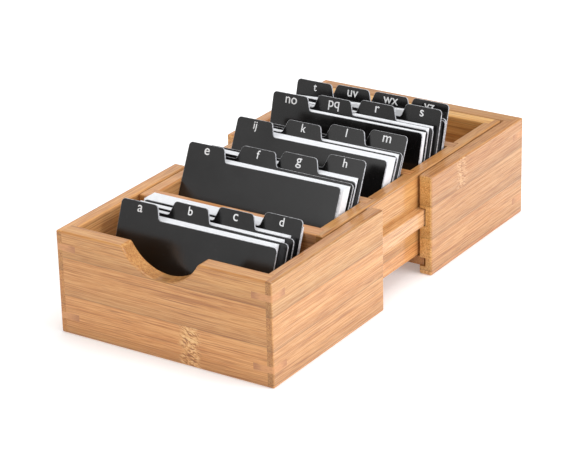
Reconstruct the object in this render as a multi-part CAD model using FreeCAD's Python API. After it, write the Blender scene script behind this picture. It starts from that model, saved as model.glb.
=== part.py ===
import FreeCAD, Part
import math
import os

# Expandable bamboo card-index box: a front tray and a rear shell telescope over an inner tray
# that hangs on two side rails, and plastic index dividers with cards stand in it.
# Millimetres. +X right, +Z up, and the front wall faces -Y. The design frame has y = 0 at the
# front wall's outer face; export moves it so the origin is the centre of the box's base.

Vector = FreeCAD.Vector

# ---- Driving dimensions ----
CARD_WIDTH = 101.0           # index card, nominally 4 in by 2 1/4 in
CARD_HEIGHT = 57.8
CARD_THICKNESS = 0.42
CARD_PITCH = 0.5             # one card to the next, square to the card
CARD_STAGGER = 0.25          # how far cards sit out of line sideways

DIVIDER_WIDTH = 105.4
DIVIDER_BODY_HEIGHT = 58.5
TAB_HEIGHT = 8.4
TAB_SLOPE = 2.8              # sideways run of a tab's sloping side
TAB_FLARE = 0.7              # how far a tab's foot reaches past its share of the width
TABS_PER_ROW = 4
DIVIDER_THICKNESS = 0.9

COMPARTMENT_WIDTH = CARD_WIDTH + 7.4
SIDE_THICKNESS = 8.5         # side walls of the two outer halves
INNER_SIDE_THICKNESS = 7.8
END_THICKNESS = 10.4         # front and rear walls
REAR_INNER_THICKNESS = 8.5   # rear wall of the inner tray
PARTITION_THICKNESS = 7.2
BOX_HEIGHT = 62.5
FRONT_LENGTH = 115.0
REAR_LENGTH = 113.0
DRAWN_OUT = 54.5             # open gap between the two outer halves
SLIDE_GAP = 1.05             # inner tray's side to outer wall
EASE = 1.1                   # rounding of exposed edges

LAP_STRIP = 3.9              # outer part of a side wall that laps over the end wall
KEY_LEG = 13.0               # corner key, along each face
KEY_THICKNESS = 4.0
KEY_HEIGHTS = (11.0, 53.0)   # middle of the lower and upper key

PANEL_THICKNESS = 5.5
PANEL_RECESS = 5.2           # underside of the panel above the walls' lower edge
PANEL_TONGUE = 2.8
PANEL_GROOVE = 4.3

RAIL_PROJECTION = 4.7
RAIL_HEIGHT = 10.3
RAIL_INSET = 2.0             # rail ends short of the inner tray's ends
RAIL_GROOVE_DEPTH = 4.4
RAIL_GROOVE_HEIGHT = 11.1
RAIL_MIDDLE = 36.45          # height of the middle of rail and groove
RAIL_EASE = 0.5
GROOVE_END_GAP = 1.5         # blind end of the groove to the end wall

SCOOP_DEPTH = 15.4
SCOOP_RADIUS = 28.5
SCOOP_LIP_RADIUS = 2.5
SCOOP_MIDDLE = -1.0          # the scoop sits a little left of the wall's middle

PANEL_LIFT = 0.5             # inner tray above the outer bottom panels
REAR_HOME_GAP = 0.2          # inner tray's rear wall to the rear shell's
FOOT_GAP = 0.25              # standing dividers and cards above the panel
PARTITION_HOUSING = 4.0      # how far a partition is let into each side wall
HOUSING_GAP = 0.25           # left at the end of its housing
PARTITION_REARS = (125.8, 173.9, 224.8)

# Index rows: name, lean from upright, and for each divider its letters, foot, offset in x and
# roll, then the number of cards behind it, their offset in x, how far they have ridden up and
# their roll.
# foot is the y of the divider's rear lower edge. Roll and lean are in degrees.
ROWS = (
    ("front", 21.8, (
        ("a", 11.9, 1.8, 0.3, 14, -0.5, 0.0, 0.0),
        ("b", 20.9, 2.5, -0.4, 10, -1.3, 0.0, 0.0),
        ("c", 27.9, 2.2, 0.0, 9, -1.4, 0.0, 0.0),
        ("d", 34.2, 2.2, 0.0, 19, -0.5, 0.8, 0.0))),
    ("first", 26.0, (
        ("e", 78.2, -1.0, 0.4, 13, 2.1, 0.0, 0.0),
        ("f", 87.7, 1.2, 0.0, 0, 0.0, 0.0, 0.0),
        ("g", 91.1, 0.6, -0.2, 11, 0.0, 0.4, 0.0),
        ("h", 98.8, 1.1, 0.6, 0, 0.0, 0.0, 0.0))),
    ("second", 26.0, (
        ("ij", 126.8, 0.1, 0.2, 15, 2.2, 0.3, 0.0),
        ("k", 136.4, 1.1, 0.0, 8, 1.2, 0.2, 0.0),
        ("l", 142.0, 1.1, -0.2, 0, 0.0, 0.0, 0.0),
        ("m", 146.3, 0.1, 0.0, 0, 0.0, 0.0, 0.0))),
    ("third", 16.0, (
        ("no", 175.5, 1.0, 0.4, 8, 2.0, 0.5, 0.0),
        ("pq", 182.7, 0.2, 0.0, 6, 0.7, 1.0, 0.0),
        ("r", 187.6, 1.0, 0.0, 8, 0.3, 0.0, 0.0),
        ("s", 195.3, 1.2, 0.0, 6, 1.5, 0.0, 3.2),
        ("t", 201.8, 1.2, 0.0, 0, 0.0, 0.0, 0.0),
        ("uv", 203.1, 1.1, 0.4, 0, 0.0, 0.0, 0.0),
        ("wx", 204.4, 0.6, 0.0, 0, 0.0, 0.0, 0.0),
        ("yz", 205.7, 0.0, -0.2, 0, 0.0, 0.0, 0.0))),
)

# ---- Worked out from the driving dimensions ----
INNER_HALF = COMPARTMENT_WIDTH / 2 + INNER_SIDE_THICKNESS  # inner tray, outside
OUTER_HALF = INNER_HALF + SLIDE_GAP + SIDE_THICKNESS     # outer halves, outside
REAR_START = FRONT_LENGTH + DRAWN_OUT
TOTAL_LENGTH = REAR_START + REAR_LENGTH
OUTER_FLOOR = PANEL_RECESS + PANEL_THICKNESS
INNER_BASE = OUTER_FLOOR + PANEL_LIFT
INNER_FLOOR = INNER_BASE + PANEL_RECESS + PANEL_THICKNESS
INNER_REAR = TOTAL_LENGTH - END_THICKNESS - REAR_HOME_GAP
INNER_FRONT = INNER_REAR - (FRONT_LENGTH + REAR_LENGTH - 2 * END_THICKNESS - 0.9)

PARTS_FOLDER = "parts"
SIDES = (("left", -1), ("right", 1))


def block(x_span, y_span, z_span):
    """Box from its low and high x, y and z."""
    size = [high - low for low, high in (x_span, y_span, z_span)]
    return Part.makeBox(*size, Vector(x_span[0], y_span[0], z_span[0]))


def side_span(side, near, far):
    """Low and high x of a span that runs from near to far, out on one side."""
    return tuple(sorted((side * near, side * far)))


def ease_edges(shape, radius, wanted):
    """Round the edges that the test function wanted picks."""
    edges = [edge for edge in shape.Edges if wanted(edge.BoundBox)]
    return shape.makeFillet(radius, edges)


def near(value, target):
    return abs(value - target) < 0.01


def save(node, solids):
    """Write one node's solids, moved to the origin at the centre of the base."""
    shape = solids[0] if len(solids) == 1 else Part.makeCompound(solids)
    shape = shape.copy()
    shape.translate(Vector(0, -TOTAL_LENGTH / 2, 0))
    shape.exportStep(os.path.join(PARTS_FOLDER, node + ".step"))


# ---- Boxes ----
class Tray:
    """Four or three walls round a grooved-in bottom panel. An end wall of 0 is an open end."""

    def __init__(self, half, side_wall, y_span, base, front_wall, rear_wall, scooped=False):
        self.half = half
        self.inner = half - side_wall
        self.y_low, self.y_high = y_span
        self.base = base
        self.front_wall = front_wall
        self.rear_wall = rear_wall
        self.y_front = self.y_low + front_wall      # hollow's ends
        self.y_rear = self.y_high - rear_wall
        self.rim = self.make_rim(scooped)
        self.key_slots = []

    def make_rim(self, scooped):
        """The walls in one piece, with every exposed edge eased."""
        reach = 1.0
        hollow_low = self.y_front if self.front_wall else self.y_low - reach
        hollow_high = self.y_rear if self.rear_wall else self.y_high + reach
        walls = block((-self.half, self.half), (self.y_low, self.y_high), (self.base, BOX_HEIGHT))
        walls = walls.cut(block((-self.inner, self.inner), (hollow_low, hollow_high),
                                (self.base - reach, BOX_HEIGHT + reach)))
        if scooped:
            walls = walls.cut(scoop_cutter((self.y_low - reach, self.y_front + reach)))

        def exposed(box):
            upright = box.ZLength > BOX_HEIGHT / 2
            inside = near(abs(box.XMin), self.inner)
            closed_end = ((self.front_wall and near(box.YMin, self.y_front))
                          or (self.rear_wall and near(box.YMin, self.y_rear)))
            across_scoop = near(box.XLength, 0) and abs(box.XMin) < self.inner / 2
            return not across_scoop and not (upright and inside and closed_end)

        return ease_edges(walls, EASE, exposed)

    def panel_height(self):
        low = self.base + PANEL_RECESS
        return (low, low + PANEL_THICKNESS)

    def side_wall(self, side):
        """Side wall with its thin outer strip lapping over each end wall."""
        height = (self.base - 1, BOX_HEIGHT + 1)
        strip = block(side_span(side, self.half - LAP_STRIP, self.half + 1),
                      (self.y_low - 1, self.y_high + 1), height)
        thick = block(side_span(side, self.inner - 1, self.half - LAP_STRIP),
                      (self.y_front, self.y_rear), height)
        groove = block(side_span(side, self.inner - 1, self.inner + PANEL_GROOVE),
                       (self.y_low - 1, self.y_high + 1), self.panel_height())
        wall = self.rim.common(strip.fuse(thick)).cut(groove)
        return self.cut_keys(wall)

    def end_wall(self, y_span, groove_span):
        """End wall held between the strips of the side walls."""
        reach = self.half - LAP_STRIP
        region = block((-reach, reach), y_span, (self.base - 1, BOX_HEIGHT + 1))
        groove = block((-self.half, self.half), groove_span, self.panel_height())
        return self.cut_keys(self.rim.common(region).cut(groove))

    def front_end(self):
        return self.end_wall((self.y_low - 1, self.y_front),
                             (self.y_front - PANEL_GROOVE, self.y_front + 1))

    def rear_end(self):
        return self.end_wall((self.y_rear, self.y_high + 1),
                             (self.y_rear - 1, self.y_rear + PANEL_GROOVE))

    def bottom_panel(self):
        y_low = self.y_front - PANEL_TONGUE if self.front_wall else self.y_low + EASE
        y_high = self.y_rear + PANEL_TONGUE if self.rear_wall else self.y_high - EASE
        reach = self.inner + PANEL_TONGUE
        return block((-reach, reach), (y_low, y_high), self.panel_height())

    def cut_keys(self, wall):
        for slot in self.key_slots:
            wall = wall.cut(slot)
        return wall

    def corner_keys(self, corner_y, inward):
        """Triangular keys let into both corners of one end, flush with the faces."""
        keys = []
        for _, side in SIDES:
            for middle in KEY_HEIGHTS:
                low = middle - KEY_THICKNESS / 2
                corner = Vector(side * self.half, corner_y, low)
                along_end = corner + Vector(-side * KEY_LEG, 0, 0)
                along_side = corner + Vector(0, inward * KEY_LEG, 0)
                face = Part.Face(Part.makePolygon([corner, along_end, along_side, corner]))
                slot = face.extrude(Vector(0, 0, KEY_THICKNESS))
                self.key_slots.append(slot)
                keys.append(self.rim.common(slot))
        return keys


def scoop_cutter(y_span):
    """Finger scoop: one large arc with a small rounded lip at each side."""
    arc_middle = BOX_HEIGHT - SCOOP_DEPTH + SCOOP_RADIUS
    lip_middle = BOX_HEIGHT - SCOOP_LIP_RADIUS
    rise = arc_middle - lip_middle
    spread = math.sqrt((SCOOP_RADIUS + SCOOP_LIP_RADIUS) ** 2 - rise ** 2)
    share = SCOOP_RADIUS / (SCOOP_RADIUS + SCOOP_LIP_RADIUS)
    meet_x, meet_z = spread * share, arc_middle - rise * share
    above = BOX_HEIGHT + 1

    def point(x, z):
        return Vector(SCOOP_MIDDLE + x, y_span[0], z)

    def lip(side):
        """Arc from the top edge to where it meets the large arc."""
        to_top = math.radians(90)
        to_meet = math.atan2(meet_z - lip_middle, meet_x - spread)
        halfway = (to_top + to_meet) / 2
        turn = point(side * (spread + SCOOP_LIP_RADIUS * math.cos(halfway)),
                     lip_middle + SCOOP_LIP_RADIUS * math.sin(halfway))
        return Part.Arc(point(side * spread, BOX_HEIGHT), turn, point(side * meet_x, meet_z))

    bottom = Part.Arc(point(-meet_x, meet_z), point(0, BOX_HEIGHT - SCOOP_DEPTH),
                      point(meet_x, meet_z))
    corners = [point(spread, BOX_HEIGHT), point(spread, above),
               point(-spread, above), point(-spread, BOX_HEIGHT)]
    rim = [Part.LineSegment(start, end) for start, end in zip(corners, corners[1:])]
    edges = [curve.toShape() for curve in (lip(-1), bottom, lip(1), *rim)]
    face = Part.Face(Part.Wire(Part.__sortEdges__(edges)))
    return face.extrude(Vector(0, y_span[1] - y_span[0], 0))


def rail_groove(tray, side, y_span):
    low = RAIL_MIDDLE - RAIL_GROOVE_HEIGHT / 2
    return block(side_span(side, tray.inner - 1, tray.inner + RAIL_GROOVE_DEPTH), y_span,
                 (low, low + RAIL_GROOVE_HEIGHT))


def build_front_tray():
    tray = Tray(OUTER_HALF, SIDE_THICKNESS, (0, FRONT_LENGTH), 0, END_THICKNESS, 0,
                scooped=True)
    save("front_tray_corner_keys", tray.corner_keys(tray.y_low, 1))
    save("front_tray_front_wall", [tray.front_end()])
    save("front_tray_bottom_panel", [tray.bottom_panel()])
    groove_y = (tray.y_front + GROOVE_END_GAP, tray.y_high + 1)
    for name, side in SIDES:
        wall = tray.side_wall(side).cut(rail_groove(tray, side, groove_y))
        save("front_tray_" + name + "_wall", [wall])


def build_rear_shell():
    tray = Tray(OUTER_HALF, SIDE_THICKNESS, (REAR_START, TOTAL_LENGTH), 0, 0, END_THICKNESS)
    save("rear_shell_corner_keys", tray.corner_keys(tray.y_high, -1))
    save("rear_shell_rear_wall", [tray.rear_end()])
    save("rear_shell_bottom_panel", [tray.bottom_panel()])
    groove_y = (tray.y_low - 1, tray.y_rear - GROOVE_END_GAP)
    for name, side in SIDES:
        wall = tray.side_wall(side).cut(rail_groove(tray, side, groove_y))
        save("rear_shell_" + name + "_wall", [wall])


def build_inner_tray():
    tray = Tray(INNER_HALF, INNER_SIDE_THICKNESS, (INNER_FRONT, INNER_REAR), INNER_BASE,
                END_THICKNESS, REAR_INNER_THICKNESS)
    save("inner_tray_front_wall", [tray.front_end()])
    save("inner_tray_rear_wall", [tray.rear_end()])
    save("inner_tray_bottom_panel", [tray.bottom_panel()])

    housed = tray.inner + PARTITION_HOUSING
    housings = []
    for number, rear in enumerate(PARTITION_REARS, 1):
        span = (rear - PARTITION_THICKNESS, rear)
        deep = housed + HOUSING_GAP
        housings.append(block((-deep, deep), span, (INNER_FLOOR, BOX_HEIGHT + 1)))
        partition = block((-housed, housed), span, (INNER_FLOOR, BOX_HEIGHT))
        eased = ease_edges(partition, EASE * 0.6,
                           lambda box: box.XLength > tray.inner and near(box.ZMin, BOX_HEIGHT))
        save("inner_tray_partition_" + str(number), [eased])

    rail_low = RAIL_MIDDLE - RAIL_HEIGHT / 2
    for name, side in SIDES:
        wall = tray.side_wall(side)
        for housing in housings:
            wall = wall.cut(housing)
        save("inner_tray_" + name + "_wall", [wall])
        rail = block(side_span(side, tray.half, tray.half + RAIL_PROJECTION),
                     (tray.y_low + RAIL_INSET, tray.y_high - RAIL_INSET),
                     (rail_low, rail_low + RAIL_HEIGHT))
        glued = side * tray.half
        rail = ease_edges(rail, RAIL_EASE,
                          lambda box: not (near(box.XMin, glued) and near(box.XMax, glued)))
        save("inner_tray_" + name + "_rail", [rail])


# ---- Dividers and cards ----
def rounded_outline(corners):
    """Closed wire in the XZ plane through (x, z, radius) corners, each rounded by its arc."""
    starts, arcs = [], []
    count = len(corners)
    for i, (x, z, radius) in enumerate(corners):
        here = Vector(x, 0, z)
        before = (Vector(corners[i - 1][0], 0, corners[i - 1][1]) - here).normalize()
        after_corner = corners[(i + 1) % count]
        after = (Vector(after_corner[0], 0, after_corner[1]) - here).normalize()
        half_angle = before.getAngle(after) / 2
        tangent = radius / math.tan(half_angle)
        to_centre = (before + after).normalize()
        middle = here + to_centre * (radius / math.sin(half_angle) - radius)
        start, end = here + before * tangent, here + after * tangent
        arcs.append(Part.Arc(start, middle, end).toShape())
        starts.append((start, end))
    lines = [Part.LineSegment(starts[i - 1][1], starts[i][0]).toShape() for i in range(count)]
    edges = [edge for pair in zip(lines, arcs) for edge in pair]
    return Part.Wire(edges)


def divider_outline(tab):
    """A card-shaped body with one of the row's tabs; the end tabs are flush with the body."""
    body_radius, tab_radius, base_radius = 2.5, 2.5, 1.8
    half = DIVIDER_WIDTH / 2
    pitch = DIVIDER_WIDTH / TABS_PER_ROW
    left, right = -half + tab * pitch - TAB_FLARE, -half + (tab + 1) * pitch + TAB_FLARE
    body, top = DIVIDER_BODY_HEIGHT, DIVIDER_BODY_HEIGHT + TAB_HEIGHT
    corners = [(-half, 0, body_radius)]
    if tab == 0:
        corners += [(-half, top, tab_radius)]
    else:
        corners += [(-half, body, body_radius), (left, body, base_radius),
                    (left + TAB_SLOPE, top, tab_radius)]
    if tab == TABS_PER_ROW - 1:
        corners += [(half, top, tab_radius)]
    else:
        corners += [(right - TAB_SLOPE, top, tab_radius), (right, body, base_radius),
                    (half, body, body_radius)]
    corners += [(half, 0, body_radius)]
    return rounded_outline(corners)


def lean_back(shape, lean, foot, floor):
    """Turn an upright shape, whose rear lower edge is the X axis, back onto its foot."""
    shape = shape.copy()
    shape.rotate(Vector(0, 0, 0), Vector(1, 0, 0), -lean)
    shape.translate(Vector(0, foot, floor + FOOT_GAP))
    return shape


def make_divider(tab, lean, foot, floor, offset, roll):
    """A divider that stands on one lower corner where it is rolled in its own plane."""
    sheet = Part.Face(divider_outline(tab)).extrude(Vector(0, DIVIDER_THICKNESS, 0))
    sheet.rotate(Vector(0, 0, 0), Vector(0, 1, 0), -roll)
    lift = DIVIDER_WIDTH / 2 * math.sin(math.radians(abs(roll)))
    sheet.translate(Vector(offset, -DIVIDER_THICKNESS, lift))
    return lean_back(sheet, lean, foot, floor)


def make_cards(count, lean, foot, floor, offset, raised, roll):
    """Cards leaning on each other behind a divider, every one standing level with the next."""
    lift = raised + CARD_WIDTH / 2 * math.sin(math.radians(abs(roll)))
    slope = math.tan(math.radians(lean))
    cards = []
    for number in range(count):
        front = CARD_PITCH * number + (CARD_PITCH - CARD_THICKNESS)
        rear = front + CARD_THICKNESS
        shift = offset + CARD_STAGGER * math.sin(2.4 * number + offset)
        card = block((-CARD_WIDTH / 2, CARD_WIDTH / 2), (front, rear), (0, CARD_HEIGHT))
        card.rotate(Vector(0, 0, 0), Vector(0, 1, 0), -roll)
        card.translate(Vector(shift, 0, rear * slope + lift))
        cards.append(lean_back(card, lean, foot, floor))
    return cards


def build_index():
    for row, lean, dividers in ROWS:
        floor = OUTER_FLOOR if row == "front" else INNER_FLOOR
        for number, divider in enumerate(dividers):
            letters, foot, offset, roll, count, *card_place = divider
            tab = number % TABS_PER_ROW
            save("divider_" + letters, [make_divider(tab, lean, foot, floor, offset, roll)])
            if count:
                save("cards_behind_" + letters, make_cards(count, lean, foot, floor, *card_place))


def main():
    os.makedirs(PARTS_FOLDER, exist_ok=True)
    build_front_tray()
    build_rear_shell()
    build_inner_tray()
    build_index()


main()
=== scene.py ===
"""Looks of the expandable bamboo card index box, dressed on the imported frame. Metres throughout."""
import math
import random

import bmesh
import bpy
from mathutils import Matrix, Vector


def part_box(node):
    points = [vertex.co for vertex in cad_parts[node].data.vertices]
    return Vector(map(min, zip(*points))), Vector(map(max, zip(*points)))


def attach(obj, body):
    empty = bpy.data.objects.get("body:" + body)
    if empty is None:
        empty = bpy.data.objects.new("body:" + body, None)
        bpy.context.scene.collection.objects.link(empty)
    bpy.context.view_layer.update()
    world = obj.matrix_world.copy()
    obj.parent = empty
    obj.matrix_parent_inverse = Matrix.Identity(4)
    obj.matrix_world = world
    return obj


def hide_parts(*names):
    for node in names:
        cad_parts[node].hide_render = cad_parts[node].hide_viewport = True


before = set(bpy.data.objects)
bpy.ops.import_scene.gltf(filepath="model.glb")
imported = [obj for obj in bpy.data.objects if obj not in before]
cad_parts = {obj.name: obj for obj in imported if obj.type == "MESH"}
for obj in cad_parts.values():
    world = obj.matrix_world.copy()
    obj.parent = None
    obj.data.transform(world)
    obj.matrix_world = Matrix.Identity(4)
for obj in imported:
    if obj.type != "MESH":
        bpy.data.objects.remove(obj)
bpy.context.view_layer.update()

MM = 0.001
random.seed(7)

# Camera: the photograph was taken from the front right, through a long lens.
CAMERA_PLACE = Vector((0.7199, -1.1061, 0.5919))
CAMERA_FORWARD = Vector((-0.50822, 0.76427, -0.39699))
CAMERA_UP = Vector((-0.19735, 0.34534, 0.91749))
SENSOR_WIDTH = 36.0
LENS = 156.1

ROOM_LIGHT = 0.68
BACK_LIGHT = 0.45            # share of the room's light that comes from behind the object
WAY_BACK = (-0.45, 0.89, 0.0)
WINDOW_LIGHT = 1.2
WAY_TO_WINDOW = (-0.545, 0.724, 0.423)
FLOOR_REACH = 6.0

TABS_PER_ROW = 4
SHEET_EDGE = 0.16 * MM       # rounding of a divider's cut edge
CARD_THICKNESS = 0.235 * MM
CARD_WANDER = 0.2 * MM       # how far a card sits out of line sideways
CARD_SHARE = 0.93            # of the pitch, so that cards don't touch
NEAR = 0.1 * MM              # places this close to each other count as the same

LETTER_HEIGHT = 5.1 * MM     # height of a tall letter, such as b
SMALL_LETTER_SCALE = 1.2     # tabs without a tall letter have larger ones
TALL_LETTERS = set("bdfhijklt")
LETTER_WEIGHT = 0.05 * MM    # chamfer round a letter's outline, which makes it bolder
LETTER_BASELINE = 5.9 * MM   # below the tab's top edge
LETTER_PROUD = 0.03 * MM
TALL_LETTER_SHARE = 0.73     # of the font's size


# ---- Nodes of a material ----
class Tree:
    """One material's nodes. Every method adds a node and returns the output that matters."""

    def __init__(self, name):
        self.material = bpy.data.materials.new(name)
        self.material.use_nodes = True
        self.nodes = self.material.node_tree.nodes
        self.links = self.material.node_tree.links
        self.nodes.clear()
        self.shader = self.nodes.new("ShaderNodeBsdfPrincipled")
        output = self.nodes.new("ShaderNodeOutputMaterial")
        self.links.new(self.shader.outputs["BSDF"], output.inputs["Surface"])

    def feed(self, socket, value):
        if isinstance(value, bpy.types.NodeSocket):
            self.links.new(value, socket)
        elif socket.type == "RGBA" and len(value) == 3:
            socket.default_value = (*value, 1.0)
        else:
            socket.default_value = value

    def surface(self, **values):
        """Set the shader's sockets: base_color feeds Base Color, and so on."""
        for name, value in values.items():
            self.feed(self.shader.inputs[name.replace("_", " ").title().replace("Ior", "IOR")], value)

    def math(self, operation, *values):
        node = self.nodes.new("ShaderNodeMath")
        node.operation = operation
        for socket, value in zip(node.inputs, values):
            self.feed(socket, value)
        return node.outputs[0]

    def vector(self, operation, *values):
        node = self.nodes.new("ShaderNodeVectorMath")
        node.operation = operation
        for socket, value in zip(node.inputs, values):
            self.feed(socket, value)
        return node.outputs["Value" if operation == "DOT_PRODUCT" else "Vector"]

    def coordinates(self, kind):
        return self.nodes.new("ShaderNodeTexCoord").outputs[kind]

    def place(self):
        """Where a point is on the object at rest, in mm."""
        vector = self.vector("SCALE", self.coordinates("Object"))
        vector.node.inputs["Scale"].default_value = 1 / MM
        return vector

    def split(self, vector):
        node = self.nodes.new("ShaderNodeSeparateXYZ")
        self.feed(node.inputs[0], vector)
        return node.outputs

    def join(self, x, y, z=0.0):
        node = self.nodes.new("ShaderNodeCombineXYZ")
        for socket, value in zip(node.inputs, (x, y, z)):
            self.feed(socket, value)
        return node.outputs[0]

    def noise(self, vector, scale=1.0, detail=2.0, roughness=0.5, distortion=0.0):
        node = self.nodes.new("ShaderNodeTexNoise")
        node.inputs["Scale"].default_value = scale
        node.inputs["Detail"].default_value = detail
        node.inputs["Roughness"].default_value = roughness
        node.inputs["Distortion"].default_value = distortion
        self.feed(node.inputs["Vector"], vector)
        return node.outputs["Fac"]

    def random(self, vector):
        """Three random numbers for each whole-numbered place."""
        node = self.nodes.new("ShaderNodeTexWhiteNoise")
        node.noise_dimensions = "3D"
        self.feed(node.inputs["Vector"], vector)
        return self.split(node.outputs["Color"])

    def ramp(self, value, *stops):
        """Colours at positions along 0 to 1."""
        node = self.nodes.new("ShaderNodeValToRGB")
        elements = node.color_ramp.elements
        while len(elements) < len(stops):
            elements.new(1.0)
        for element, (position, colour) in zip(elements, stops):
            element.position = position
            element.color = (*colour, 1.0)
        self.feed(node.inputs["Fac"], value)
        return node.outputs["Color"]

    def spread(self, value, low, high, to_low=0.0, to_high=1.0, smooth=True):
        """Turn low to high into to_low to to_high, smoothly and clamped."""
        node = self.nodes.new("ShaderNodeMapRange")
        node.interpolation_type = "SMOOTHSTEP" if smooth else "LINEAR"
        for socket, number in zip(node.inputs, (value, low, high, to_low, to_high)):
            self.feed(socket, number)
        return node.outputs[0]

    def mix(self, share, a, b, blend="MIX"):
        node = self.nodes.new("ShaderNodeMix")
        node.data_type = "RGBA"
        node.blend_type = blend
        self.feed(node.inputs["Factor"], share)
        first, second = [s for s in node.inputs if s.type == "RGBA"]
        self.feed(first, a)
        self.feed(second, b)
        return node.outputs[2]

    def bump(self, height, distance, strength=1.0):
        node = self.nodes.new("ShaderNodeBump")
        node.inputs["Distance"].default_value = distance
        node.inputs["Strength"].default_value = strength
        self.feed(node.inputs["Height"], height)
        self.feed(self.shader.inputs["Normal"], node.outputs["Normal"])


# ---- Bamboo ----
DARK, MIDDLE, LIGHT = (0.50, 0.202, 0.060), (0.61, 0.284, 0.097), (0.69, 0.365, 0.148)
VEIN = (0.30, 0.100, 0.027)
# Painted light: the rear shell's end faces are made lighter to make up for the shade they lie in
# behind the front tray.
REAR_END_PAINTED_LIGHT = (1.36, 1.58, 1.42)


def bamboo(name, grain, across, seed, strip=21.0, start=0.0, tone_and_painted_light=(1.0, 1.0, 1.0),
           end_tone_and_painted_light=(0.76, 0.69, 0.48), knuckles=()):
    """Laminated bamboo. grain and across are the axes along the fibres and from strip to strip.

    strip is a strip's width and start where one begins, in mm. A knuckle is (place along the
    grain, lowest and highest place across it, strength), in mm.
    """
    t = Tree(name)
    depth = ({"x", "y", "z"} - {grain, across}).pop()
    parts = dict(zip("xyz", t.split(t.place())))
    along, wide, deep = parts[grain], parts[across], parts[depth]

    counted = t.math("DIVIDE", t.math("SUBTRACT", wide, start), strip)
    number = t.math("FLOOR", counted)
    share = t.math("FRACT", counted)
    luck = t.random(t.join(number, float(seed), 3.0))

    # Fibres: thin long lines and short pores over slow bands of tone, each strip with its own.
    shifted = t.math("ADD", along, t.math("MULTIPLY", luck[0], 900.0))
    sway = t.noise(t.join(t.math("MULTIPLY", shifted, 0.009), number, float(seed)), detail=1.0)
    swayed = t.math("ADD", wide, t.math("MULTIPLY", sway, 2.5))

    def fibres(length, width, detail=1.0, roughness=0.5):
        """Noise whose features are about this long and wide, in mm."""
        there = t.join(t.math("DIVIDE", shifted, length), t.math("DIVIDE", swayed, width),
                       t.math("DIVIDE", deep, width * 1.4))
        return t.noise(there, detail=detail, roughness=roughness)

    def thin_lines(length, width, thickness):
        """Lines where the noise crosses its middle."""
        off_middle = t.math("ABSOLUTE", t.math("SUBTRACT", fibres(length, width), 0.5))
        return t.spread(off_middle, 0.0, thickness, 1.0, 0.0, smooth=False)

    bands = fibres(120.0, 5.0)
    fine = fibres(12.0, 0.42, 2.0, 0.65)
    tones = t.math("ADD", t.math("MULTIPLY", fibres(70.0, 0.80, 2.0), 0.48),
                   t.math("MULTIPLY", fine, 0.40))
    tones = t.math("ADD", tones, t.math("MULTIPLY", bands, 0.12))
    colour = t.ramp(tones, (0.40, DARK), (0.49, MIDDLE), (0.59, LIGHT))
    presence = t.spread(fibres(60.0, 2.6), 0.38, 0.60, 0.10, 0.80)
    vein = t.math("MULTIPLY", thin_lines(110.0, 1.2, 0.048), presence)
    pores = t.spread(fibres(18.0, 0.60), 0.34, 0.42, 0.40, 0.0)
    vein = t.math("MAXIMUM", vein, pores)
    colour = t.mix(vein, colour, VEIN)

    # Strips: each has its own tone, is denser and darker towards its outer skin, and is glued
    # to the next along a thin line.
    paler = t.spread(luck[1], 0.0, 1.0, 0.94, 1.07, smooth=False)
    skin = t.spread(share, 0.04, 0.42, 0.86, 1.0)
    glue = t.spread(t.math("ABSOLUTE", t.math("SUBTRACT", share, 0.5)), 0.5 - 0.45 / strip,
                    0.5 - 0.20 / strip, 1.0, 0.72)
    level = t.math("MULTIPLY", t.math("MULTIPLY", paler, skin), glue)
    warm = t.math("MULTIPLY", level, t.spread(luck[2], 0.0, 1.0, 0.95, 1.05, smooth=False))
    colour = t.mix(1.0, colour, t.join(level, warm, warm), blend="MULTIPLY")

    facing = dict(zip("xyz", t.split(t.coordinates("Normal"))))
    end = t.spread(t.math("ABSOLUTE", facing[grain]), 0.55, 0.9)
    edge = t.spread(t.math("ABSOLUTE", facing[across]), 0.55, 0.9)

    # Knuckles: short slanting fibres in pale and dark flecks where the cane had a node.
    height = fine
    for middle, low, high, strength in knuckles:
        ragged = t.math("MULTIPLY", t.noise(t.join(wide, deep, float(seed)), scale=0.45), 11.0)
        off = t.math("ABSOLUTE", t.math("SUBTRACT", t.math("ADD", along, ragged), middle + 5.5))
        mask = t.spread(off, 3.0, 8.0, 1.0, 0.0)
        mask = t.math("MULTIPLY", mask, t.spread(wide, low - 0.3, low + 0.5))
        mask = t.math("MULTIPLY", mask, t.spread(wide, high - 0.5, high + 0.3, 1.0, 0.0))
        mask = t.math("MULTIPLY", mask, t.spread(edge, 0.0, 1.0, strength, strength * 0.3))
        slant = t.math("ADD", wide, t.math("MULTIPLY", along, 0.35))
        flecks = t.noise(t.join(t.math("MULTIPLY", along, 0.40), slant, deep), scale=0.62,
                         detail=1.5, roughness=0.55, distortion=1.6)
        fleck_colour = t.ramp(flecks, (0.36, (0.25, 0.085, 0.024)), (0.45, MIDDLE), (0.52, LIGHT),
                              (0.60, (0.84, 0.55, 0.28)))
        colour = t.mix(mask, colour, fleck_colour)
        height = t.math("ADD", height, t.math("MULTIPLY", mask, t.math("MULTIPLY", flecks, 1.5)))

    # Edges are a little redder than broad faces, and end grain shows dark bundles. On the rear
    # shell's walls the end tone is painted light instead, lightening end faces that lie in shade.
    bundles = t.spread(t.noise(t.join(t.math("MULTIPLY", wide, 0.8), deep, float(seed)), scale=1.5,
                               detail=1.0), 0.56, 0.66)
    end_colour = t.mix(1.0, colour, end_tone_and_painted_light, blend="MULTIPLY")
    end_colour = t.mix(t.math("MULTIPLY", bundles, 0.4), end_colour, VEIN)
    colour = t.mix(end, colour, end_colour)
    colour = t.mix(edge, colour, t.mix(1.0, colour, (0.95, 0.92, 0.80), blend="MULTIPLY"))
    # Each board's tone multiplies the colour; for some boards it is painted light, lightening a wall
    # that lies in shade.
    colour = t.mix(1.0, colour, tone_and_painted_light, blend="MULTIPLY")

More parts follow.
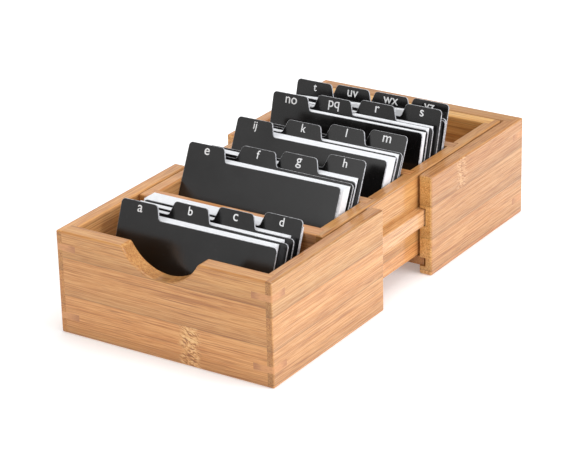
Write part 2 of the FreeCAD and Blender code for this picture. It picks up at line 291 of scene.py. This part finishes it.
    t.surface(base_color=colour, roughness=t.spread(tones, 0.38, 0.62, 0.50, 0.38),
              specular_ior_level=0.35, coat_weight=0.6, coat_roughness=0.13)
    t.bump(t.math("SUBTRACT", height, t.math("MULTIPLY", vein, 0.5)), 0.05 * MM, 0.5)
    return t.material


def key_bamboo(name, node):
    """Darker bamboo of the corner keys, with its fibres across the corner and a dark inner tip."""
    t = Tree(name)
    x, y, z = t.split(t.place())
    fibres = t.noise(t.join(t.math("MULTIPLY", x, 0.2), t.math("MULTIPLY", y, 0.2), z), scale=1.6,
                     detail=2.0, roughness=0.6)
    low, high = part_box(node)
    reach_x = max(abs(low[0]), abs(high[0])) / MM
    reach_y = max(abs(low[1]), abs(high[1])) / MM
    inward = t.math("MAXIMUM", t.math("SUBTRACT", reach_x, t.math("ABSOLUTE", x)),
                    t.math("SUBTRACT", reach_y, t.math("ABSOLUTE", y)))
    tip = t.spread(inward, 6.0, 12.5)
    colour = t.ramp(fibres, (0.38, (0.48, 0.200, 0.064)), (0.5, (0.52, 0.222, 0.072)),
                    (0.62, (0.56, 0.246, 0.082)))
    colour = t.mix(tip, t.mix(1.0, colour, (1.08, 1.10, 1.10), blend="MULTIPLY"),
                   t.mix(1.0, colour, (0.80, 0.74, 0.72), blend="MULTIPLY"))
    t.surface(base_color=colour, roughness=t.spread(fibres, 0.3, 0.7, 0.5, 0.4), coat_weight=0.6,
              coat_roughness=0.13)
    t.bump(fibres, 0.05 * MM, 0.4)
    return t.material


def dress_wood():
    """Give every wooden node its own bamboo."""
    boards = {
        "front_tray_front_wall": dict(grain="x", across="z", seed=3, strip=23.0, start=1.0,
                                      tone_and_painted_light=(0.96, 0.94, 0.80),
                                      knuckles=((17.0, 0.0, 24.0, 0.85),)),
        # Painted light: the left wall is made lighter to make up for the shade on its inner face.
        "front_tray_left_wall": dict(grain="y", across="z", seed=12, strip=21.0, start=-3.0,
                                     tone_and_painted_light=(1.12, 1.12, 1.08)),
        "front_tray_right_wall": dict(grain="y", across="z", seed=5, strip=20.0, start=2.0,
                                      tone_and_painted_light=(0.95, 0.99, 1.0)),
        "rear_shell_rear_wall": dict(grain="x", across="z", seed=8, strip=22.0, start=-4.0,
                                     knuckles=((-22.0, 18.0, 40.0, 0.9),)),
        "rear_shell_left_wall": dict(grain="y", across="z", seed=9, strip=21.0, start=-6.0,
                                     end_tone_and_painted_light=REAR_END_PAINTED_LIGHT, knuckles=((90.0, 15.0, 36.0, 0.8),)),
        "rear_shell_right_wall": dict(grain="y", across="z", seed=6, strip=20.5, start=3.0,
                                      tone_and_painted_light=(0.86, 0.84, 0.84), end_tone_and_painted_light=REAR_END_PAINTED_LIGHT,
                                      knuckles=((64.0, 44.0, 64.0, 0.55),)),
        "inner_tray_front_wall": dict(grain="x", across="z", seed=14, strip=19.0),
        # Painted light: the inner tray's rear wall is made lighter and more golden to make up for the
        # low light deep inside the tray.
        "inner_tray_rear_wall": dict(grain="x", across="z", seed=15, strip=20.0, start=4.0,
                                     tone_and_painted_light=(1.22, 1.42, 1.25)),
        "inner_tray_left_wall": dict(grain="y", across="z", seed=16, strip=20.0, start=5.0),
        "inner_tray_right_wall": dict(grain="y", across="z", seed=17, strip=20.0, start=1.0,
                                      tone_and_painted_light=(1.0, 1.0, 0.92)),
        "inner_tray_partition_1": dict(grain="x", across="z", seed=18, strip=20.0, start=3.0),
        "inner_tray_partition_2": dict(grain="x", across="z", seed=19, strip=20.0, start=7.0),
        "inner_tray_partition_3": dict(grain="x", across="z", seed=20, strip=20.0, start=2.0),
        "inner_tray_left_rail": dict(grain="y", across="z", seed=21, strip=30.0, start=20.0,
                                     tone_and_painted_light=(1.07, 1.31, 1.72)),
        "inner_tray_right_rail": dict(grain="y", across="z", seed=22, strip=30.0, start=20.0,
                                      tone_and_painted_light=(1.07, 1.31, 1.72)),
        "front_tray_bottom_panel": dict(grain="y", across="x", seed=23, strip=18.0, start=5.0),
        "rear_shell_bottom_panel": dict(grain="y", across="x", seed=24, strip=18.0, start=2.0),
        "inner_tray_bottom_panel": dict(grain="y", across="x", seed=25, strip=18.0, start=8.0),
    }
    for node, board in boards.items():
        set_material(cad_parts[node], bamboo(node + "_bamboo", **board))
    for node in ("front_tray_corner_keys", "rear_shell_corner_keys"):
        set_material(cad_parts[node], key_bamboo(node + "_bamboo", node))


def set_material(piece, *materials):
    slots = piece.data.materials
    slots.clear()
    for material in materials:
        slots.append(material)


# ---- Dividers ----
def divider_plastic(name):
    """Glossy black plastic sheet with a fine cast grain, faint scuffs and dust."""
    t = Tree(name)
    place = t.place()
    grain = t.noise(place, scale=2.5, detail=1.0)
    cloud = t.noise(place, scale=0.06, detail=3.0, roughness=0.6)
    specks = t.spread(t.noise(place, scale=1.7, detail=0.0), 0.80, 0.86)
    colour = t.ramp(cloud, (0.3, (0.0050, 0.0046, 0.0046)), (0.7, (0.0075, 0.0069, 0.0070)))
    colour = t.mix(t.math("MULTIPLY", specks, 0.3), colour, (0.12, 0.12, 0.12))
    t.surface(base_color=colour, roughness=t.spread(cloud, 0.3, 0.7, 0.16, 0.22),
              specular_ior_level=0.63)
    t.bump(grain, 0.01 * MM, 0.4)
    return t.material


def pale_cut_edge_and_painted_highlight(name):
    """The sheet's die-cut edge, which is rougher and much paler than its faces; the paleness is
    partly the cut's own and partly a painted highlight on the rounded edge.
    """
    t = Tree(name)
    marks = t.noise(t.place(), scale=1.1, detail=3.0, roughness=0.7)
    t.surface(base_color=t.ramp(marks, (0.36, (0.20, 0.20, 0.21)), (0.62, (0.62, 0.62, 0.64))),
              roughness=t.spread(marks, 0.3, 0.7, 0.40, 0.55))
    t.bump(marks, 0.03 * MM, 0.5)
    return t.material


def letter_ink(name):
    """White printed ink, a little thinner in places."""
    t = Tree(name)
    cover = t.noise(t.place(), scale=2.2, detail=2.0)
    t.surface(base_color=t.ramp(cover, (0.35, (0.78, 0.78, 0.78)), (0.6, (0.92, 0.92, 0.92))),
              roughness=t.spread(cover, 0.3, 0.7, 0.5, 0.6))
    return t.material


class Plane:
    """A leaning plane: the way to its right, the way up it and the way out of its front."""

    def __init__(self, normal, right):
        self.normal = normal
        self.right = right
        self.up = normal.cross(right)

    def at(self, across, up, out):
        return self.right * across + self.up * up + self.normal * out

    def measure(self, points):
        """Each point's places across, up and out."""
        return [(p.dot(self.right), p.dot(self.up), p.dot(self.normal)) for p in points]

    def matrix(self, across, up, out):
        """Local X to the right, Y up the plane, Z out of its front."""
        turn = Matrix((self.right, self.up, self.normal)).transposed().to_4x4()
        return Matrix.Translation(self.at(across, up, out)) @ turn


def whole_faces(mesh):
    """The mesh with every flat face in one piece."""
    shape = bmesh.new()
    shape.from_mesh(mesh)
    bmesh.ops.remove_doubles(shape, verts=shape.verts, dist=0.001 * MM)
    bmesh.ops.dissolve_limit(shape, angle_limit=math.radians(1), verts=shape.verts,
                             edges=shape.edges)
    return shape


def front_of(shape):
    """The biggest face that looks forward, and the plane along its longest edge."""
    front = max((f for f in shape.faces if f.normal.y < -0.5), key=lambda f: f.calc_area())
    lower = max(front.edges, key=lambda e: e.calc_length())
    right = (lower.verts[1].co - lower.verts[0].co).normalized()
    if right.x < 0:
        right.negate()
    return front, Plane(front.normal.copy(), right)


class Sheet:
    """Where a leaning divider is, read from its CAD node."""

    def __init__(self, letters):
        self.letters = letters
        self.node = "divider_" + letters
        self.body = self.node
        shape = whole_faces(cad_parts[self.node].data)
        front, self.plane = front_of(shape)
        corners = self.plane.measure([v.co for v in front.verts])
        self.out = corners[0][2]
        self.top = max(up for across, up, out in corners)
        on_top = [across for across, up, out in corners if up > self.top - NEAR]
        left, far = min(corners)[0], max(corners)[0]
        tab_width = (far - left) / TABS_PER_ROW
        tab = int((sum(on_top) / len(on_top) - left) / tab_width)
        self.tab_middle = left + (tab + 0.5) * tab_width
        shape.free()


def link(name, mesh):
    piece = bpy.data.objects.new(name, mesh)
    bpy.context.scene.collection.objects.link(piece)
    return piece


def make_sheet(sheet, faces, edges):
    """The divider with softly rounded cut edges in place of the CAD sheet's sharp ones."""
    piece = link("sheet_" + sheet.letters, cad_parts[sheet.node].data.copy())
    set_material(piece, faces, edges)
    shape = whole_faces(piece.data)
    rims = [e for e in shape.edges if len(e.link_faces) == 2 and e.calc_face_angle() > 1.0]
    bmesh.ops.bevel(shape, geom=rims, offset=SHEET_EDGE, segments=3, profile=0.5,
                    affect="EDGES", clamp_overlap=True)
    # Faces off the sheet's plane take the second material, the pale edge that is partly a painted
    # highlight.
    for face in shape.faces:
        flat = abs(face.normal.dot(sheet.plane.normal)) > 0.98
        face.material_index = 0 if flat else 1
        face.smooth = not flat
    shape.to_mesh(piece.data)
    shape.free()
    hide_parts(sheet.node)
    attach(piece, sheet.body)


def make_letters(sheet, ink):
    """The tab's letters, standing a hair proud of it."""
    curve = bpy.data.curves.new("letters_" + sheet.letters, "FONT")
    curve.body = sheet.letters
    curve.size = LETTER_HEIGHT / TALL_LETTER_SHARE
    if not TALL_LETTERS & set(sheet.letters):
        curve.size *= SMALL_LETTER_SCALE
    curve.align_x = "CENTER"
    curve.extrude = LETTER_PROUD / 2
    curve.bevel_depth = LETTER_WEIGHT
    curve.bevel_resolution = 0
    curve.resolution_u = 6
    source = link("source", curve)
    graph = bpy.context.evaluated_depsgraph_get()
    mesh = bpy.data.meshes.new_from_object(source.evaluated_get(graph))
    bpy.data.objects.remove(source)
    piece = link("letters_" + sheet.letters, mesh)
    mesh.transform(sheet.plane.matrix(sheet.tab_middle, sheet.top - LETTER_BASELINE,
                                      sheet.out + LETTER_PROUD / 2))
    set_material(piece, ink)
    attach(piece, sheet.body)


# ---- Cards ----
def card_paper(name):
    """Smooth white card: faint fibres, and the least shade between one cut edge and the next."""
    t = Tree(name)
    fibres = t.noise(t.place(), scale=1.2, detail=4.0, roughness=0.7)
    t.surface(base_color=t.ramp(fibres, (0.3, (0.86, 0.87, 0.89)), (0.7, (0.93, 0.935, 0.945))),
              roughness=t.spread(fibres, 0.3, 0.7, 0.55, 0.7))
    t.bump(fibres, 0.02 * MM, 0.3)
    return t.material


def make_cards(sheet, paper):
    """A pack of thin cards in place of the thicker ones of the CAD node, in the same space."""
    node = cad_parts["cards_behind_" + sheet.letters]
    whole = whole_faces(node.data)
    plane = front_of(whole)[1]
    corners = plane.measure([v.co for v in whole.verts])
    whole.free()
    left, right = min(corners)[0], max(corners)[0]
    front = max(out for across, up, out in corners)
    rear = min(out for across, up, out in corners)
    first = [up for across, up, out in corners if out > front - NEAR]
    last = [up for across, up, out in corners if out < rear + NEAR]
    count = max(2, int((front - rear) / CARD_THICKNESS))
    pitch = (front - rear) / count
    thickness = pitch * CARD_SHARE
    shape = bmesh.new()
    for number in range(count):
        share = number / (count - 1)
        low = min(first) + (min(last) - min(first)) * share
        high = max(first) + (max(last) - max(first)) * share
        shift = random.uniform(-CARD_WANDER, CARD_WANDER) / 2
        low_x, high_x = left + CARD_WANDER / 2 + shift, right - CARD_WANDER / 2 + shift
        near_face = front - pitch * number
        ring = []
        for out in (near_face, near_face - thickness):
            for x, up in ((low_x, low), (high_x, low), (high_x, high), (low_x, high)):
                ring.append(shape.verts.new(plane.at(x, up, out)))
        a, b = ring[:4], ring[4:]
        shape.faces.new(a)
        shape.faces.new(b[::-1])
        for i in range(4):
            j = (i + 1) % 4
            shape.faces.new((a[i], b[i], b[j], a[j]))
    bmesh.ops.recalc_face_normals(shape, faces=shape.faces)
    mesh = bpy.data.meshes.new("cards_" + sheet.letters)
    shape.to_mesh(mesh)
    shape.free()
    piece = link("cards_" + sheet.letters, mesh)
    set_material(piece, paper)
    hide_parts(node.name)
    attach(piece, sheet.body)


def dress_index():
    # The edge material is partly a painted highlight along the sheets' rounded cut edges.
    faces, edges = divider_plastic("divider_face"), pale_cut_edge_and_painted_highlight("divider_edge_and_painted_highlight")
    ink, paper = letter_ink("letter_ink"), card_paper("card_paper")
    prefix = "divider_"
    for node in sorted(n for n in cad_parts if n.startswith(prefix)):
        sheet = Sheet(node[len(prefix):])
        make_sheet(sheet, faces, edges)
        make_letters(sheet, ink)
        if "cards_behind_" + sheet.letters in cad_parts:
            make_cards(sheet, paper)


# ---- Studio ----
def make_floor():
    mesh = bpy.data.meshes.new("floor")
    corners = [(x * FLOOR_REACH, y * FLOOR_REACH, 0)
               for x, y in ((-1, -1), (1, -1), (1, 1), (-1, 1))]
    mesh.from_pydata(corners, [], [(0, 1, 2, 3)])
    floor = link("floor", mesh)
    t = Tree("floor")
    t.surface(base_color=(0.9, 0.9, 0.9), roughness=0.9, specular_ior_level=0.1,
              emission_color=(1.0, 1.0, 1.0), emission_strength=0.22)
    set_material(floor, t.material)


def add_area_light(name, place, target, size, power, colour=(1.0, 1.0, 1.0)):
    light = bpy.data.lights.new(name, "AREA")
    light.shape = "DISK"
    light.size = size
    light.energy = power
    light.color = colour
    lamp = bpy.data.objects.new(name, light)
    bpy.context.scene.collection.objects.link(lamp)
    lamp.location = place
    lamp.rotation_euler = (Vector(target) - Vector(place)).to_track_quat("-Z", "Y").to_euler()


def light_studio():
    """A white room, dimmer behind the object but for a soft window that the wall tops mirror,
    with a soft key from the right and a front fill."""
    world = bpy.data.worlds.new("studio")
    world.use_nodes = True
    nodes, links = world.node_tree.nodes, world.node_tree.links
    background = nodes["Background"]
    background.inputs["Strength"].default_value = ROOM_LIGHT
    direction = nodes.new("ShaderNodeTexCoord").outputs["Generated"]

    def towards(heading, low, high, to_low, to_high):
        """A number that changes smoothly with how nearly a direction points to the heading."""
        nearness = nodes.new("ShaderNodeVectorMath")
        nearness.operation = "DOT_PRODUCT"
        nearness.inputs[1].default_value = heading
        links.new(direction, nearness.inputs[0])
        change = nodes.new("ShaderNodeMapRange")
        change.interpolation_type = "SMOOTHSTEP"
        links.new(nearness.outputs["Value"], change.inputs[0])
        for socket, number in zip(list(change.inputs)[1:], (low, high, to_low, to_high)):
            socket.default_value = number
        return change.outputs[0]

    level = nodes.new("ShaderNodeMath")
    level.operation = "ADD"
    links.new(towards(WAY_BACK, 0.3, 0.9, 1.0, BACK_LIGHT), level.inputs[0])
    links.new(towards(WAY_TO_WINDOW, 0.982, 0.998, 0.0, WINDOW_LIGHT), level.inputs[1])
    links.new(level.outputs[0], background.inputs["Color"])
    bpy.context.scene.world = world
    middle = (0, 0, 0.03)
    add_area_light("key", (1.9, 0.2, 0.9), middle, 1.4, 25.0, (0.96, 0.98, 1.05))
    add_area_light("top", (0.1, 0.2, 2.0), middle, 1.5, 18.0)
    add_area_light("fill", (-0.5, -2.2, 1.2), middle, 1.6, 5.5)
    bpy.context.scene.view_settings.view_transform = "Standard"


def place_camera():
    lens = bpy.data.cameras.new("camera")
    lens.sensor_width = SENSOR_WIDTH
    lens.lens = LENS
    lens.clip_start = 0.05
    lens.clip_end = 50.0
    camera = bpy.data.objects.new("camera", lens)
    bpy.context.scene.collection.objects.link(camera)
    back = -CAMERA_FORWARD.normalized()
    right = CAMERA_UP.cross(back).normalized()
    up = back.cross(right)
    turn = Matrix((right, up, back)).transposed().to_4x4()
    camera.matrix_world = Matrix.Translation(CAMERA_PLACE) @ turn
    bpy.context.scene.camera = camera


dress_wood()
dress_index()
make_floor()
light_studio()
place_camera()
